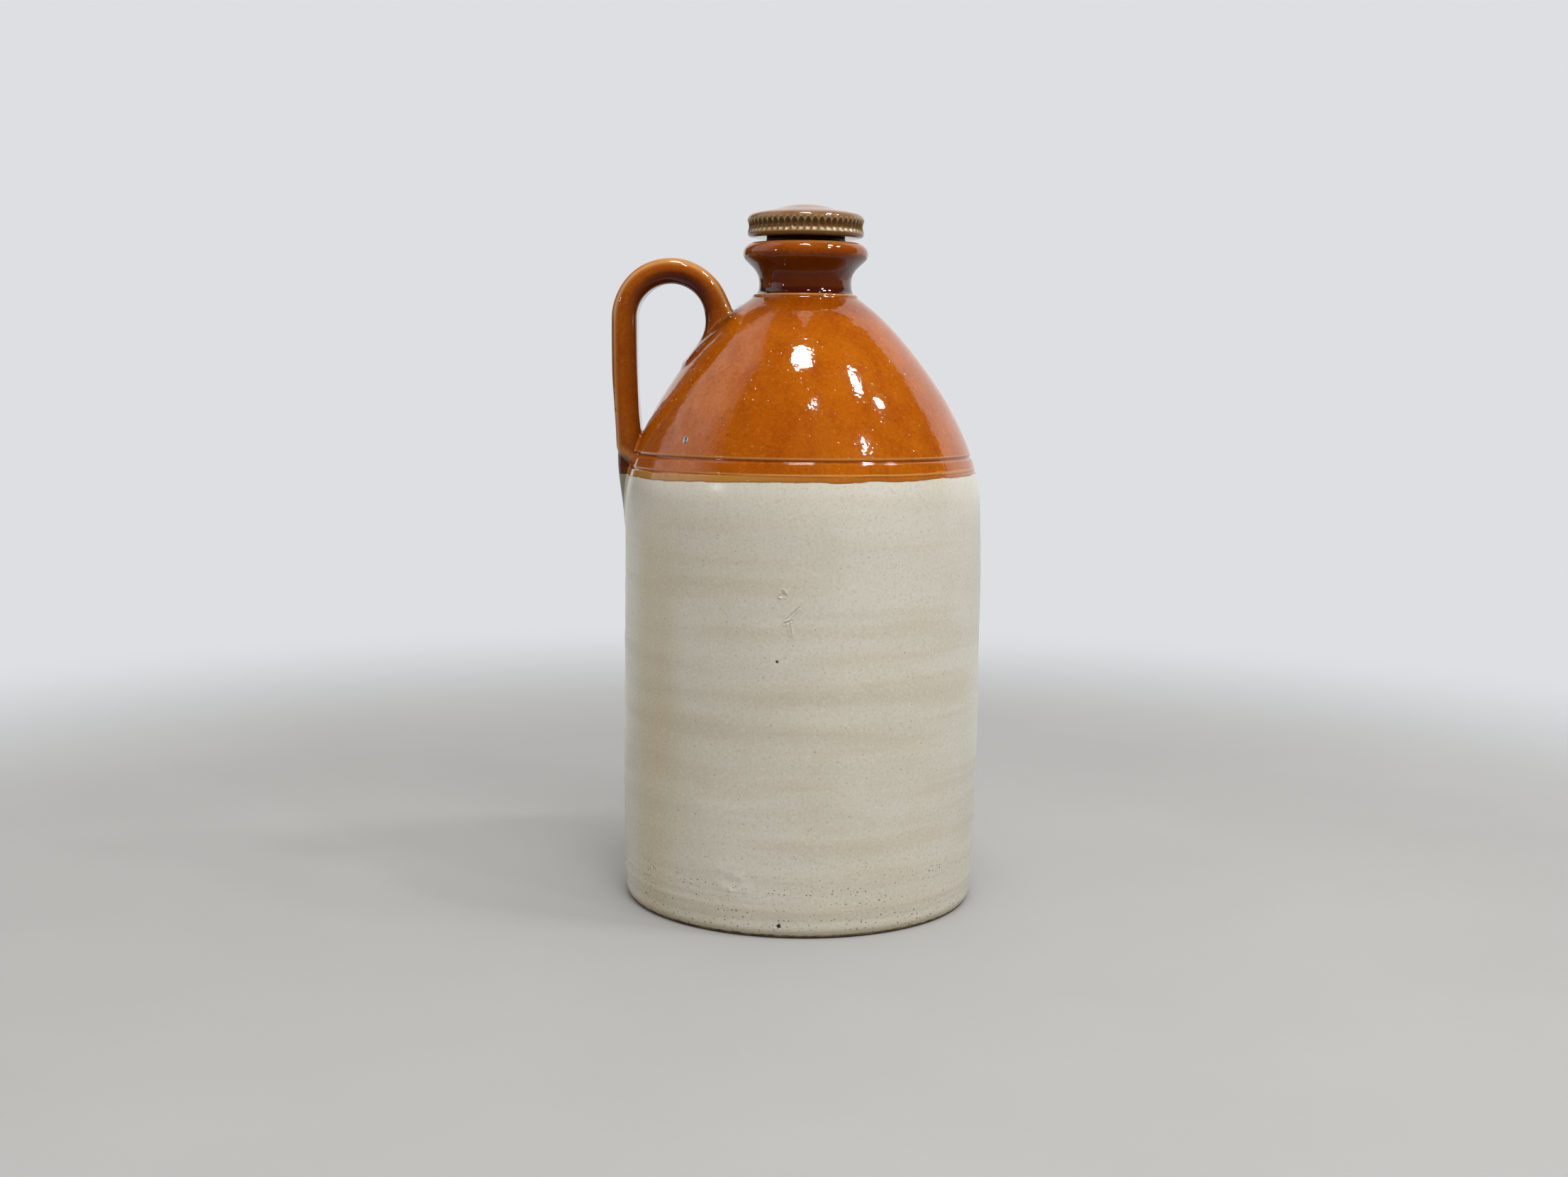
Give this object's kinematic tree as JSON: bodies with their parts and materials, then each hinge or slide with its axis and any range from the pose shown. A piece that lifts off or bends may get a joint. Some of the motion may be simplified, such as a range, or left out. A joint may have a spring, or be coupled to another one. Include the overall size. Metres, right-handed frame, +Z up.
{
  "type": "stoneware flagon",
  "caption": "Two-tone stoneware flagon with a straight wall, a domed shoulder, a strap handle at the shoulder and a fluted screw stopper on a rubber ring.",
  "frame": {"origin": "centre of the flat base, on the body's axis, at the ground", "axes": "+Z up along the body's axis; the handle stands on the -X side; the picture looks along +Y"},
  "size_m": [0.1792, 0.1734, 0.3356],
  "materials": {
    "body_glaze": "glossy amber glaze above a semi-matt pale grey-cream glaze",
    "stopper_glaze": "glossy olive-brown glaze",
    "seal_rubber": "matt black rubber"
  },
  "bodies": {
    "flagon": {"flagon": "body_glaze"},
    "ring": {"stopper_seal": "seal_rubber"},
    "stopper": {"stopper": "stopper_glaze"}
  },
  "joints": [
    {"name": "stopper_lift", "type": "slide", "parent": "flagon", "child": "ring", "axis": [0, 0, 1], "range_m": [0, 0.01575]},
    {"name": "stopper_turn", "type": "hinge", "parent": "ring", "child": "stopper", "pos_m": [0, 0, 0.3], "axis": [0, 0, 1], "range_deg": [0, 810]}
  ],
  "couplings": [
    {"joint": "stopper_lift", "follows": "stopper_turn", "m_per_rad": 0.0011141}
  ]
}
